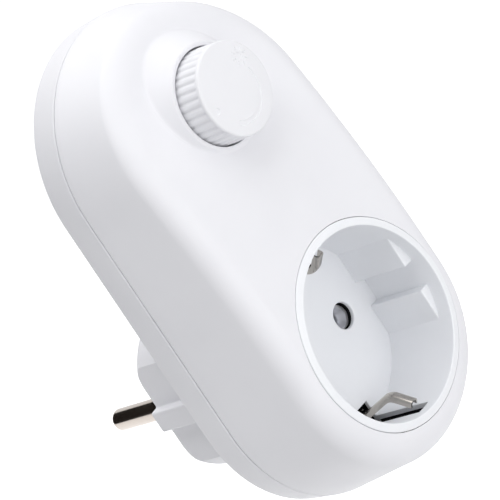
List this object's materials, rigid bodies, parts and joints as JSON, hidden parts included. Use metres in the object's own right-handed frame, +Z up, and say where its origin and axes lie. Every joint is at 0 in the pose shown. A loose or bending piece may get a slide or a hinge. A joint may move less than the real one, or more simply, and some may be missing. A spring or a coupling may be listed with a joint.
{
  "type": "plug-in dimmer",
  "caption": "White plug-in rotary dimmer: stadium-shaped casing with an earthed socket and a fluted knob on its front and an earthed round-pin plug on its back.",
  "frame": {"origin": "centre of the plug's nose, on the common axis of plug and socket", "axes": "+Z up towards the knob end, +Y into the wall along the plug's pins, -Y out of the socket, +X to the right as seen from the front"},
  "size_m": [0.0578, 0.0753, 0.1091],
  "materials": {
    "casing": "satin white moulded plastic with a very fine texture",
    "insert": "satin cool white moulded plastic",
    "knob": "satin white moulded plastic, fluted side",
    "nickel": "bright nickel plating",
    "spring_steel": "nickel-plated spring strip",
    "brass": "plain rolled brass",
    "steel": "zinc-plated steel",
    "aluminium": "plain sheet",
    "board": "solder-masked laminate",
    "black_case": "moulded black package",
    "phenolic": "brown wafer with a carbon track",
    "ferrite": "sintered core",
    "copper": "enamelled copper wire",
    "film_yellow": "boxed film capacitor",
    "film_red": "boxed film capacitor",
    "glass_blue": "small glass diode body",
    "resistor_tan": "lacquered resistor body",
    "fuse_glass": "glass fuse tube",
    "wire_brown": "insulated wire",
    "wire_black": "insulated wire"
  },
  "bodies": {
    "casing": {"front_cover": "casing", "rear_cover": "casing", "socket_insert": "insert", "contact_carrier": "insert", "socket_contact_left": "brass", "socket_contact_right": "brass", "earth_bridge": "spring_steel", "plug_earth_upper": "spring_steel", "plug_earth_lower": "spring_steel", "plug_pin_left": "nickel", "plug_pin_right": "nickel", "neutral_bar": "brass", "live_lead": "wire_brown", "load_lead": "wire_black", "pot_bushing": "steel", "pot_nut": "brass", "pot_track": "phenolic", "pot_case": "steel", "pot_terminals": "steel", "circuit_board": "board", "board_screws": "steel", "triac": "black_case", "heat_sink": "aluminium", "heat_sink_screw": "steel", "choke_core": "ferrite", "choke_winding": "copper", "suppression_capacitor": "film_yellow", "timing_capacitor": "film_red", "diac": "glass_blue", "resistors": "resistor_tan", "fuse": "fuse_glass", "fuse_clips": "brass", "cover_screws": "steel"},
    "knob": {"dimmer_knob": "knob", "pot_shaft": "steel", "pot_wiper": "black_case"},
    "upper_clip": {"earth_clip_upper": "spring_steel"},
    "lower_clip": {"earth_clip_lower": "spring_steel"}
  },
  "joints": [
    {"name": "knob_turn", "type": "hinge", "parent": "casing", "child": "knob", "pos_m": [0, -0.0504, 0.0553], "axis": [0, 1, 0], "range_deg": [-135, 135]},
    {"name": "upper_clip_flex", "type": "hinge", "parent": "casing", "child": "upper_clip", "pos_m": [0, -0.03555, 0.0175], "axis": [-1, 0, 0], "range_deg": [0, 7], "stiffness_Nm_per_rad": 0.05},
    {"name": "lower_clip_flex", "type": "hinge", "parent": "casing", "child": "lower_clip", "pos_m": [0, -0.03555, -0.0175], "axis": [1, 0, 0], "range_deg": [0, 7], "stiffness_Nm_per_rad": 0.05}
  ]
}
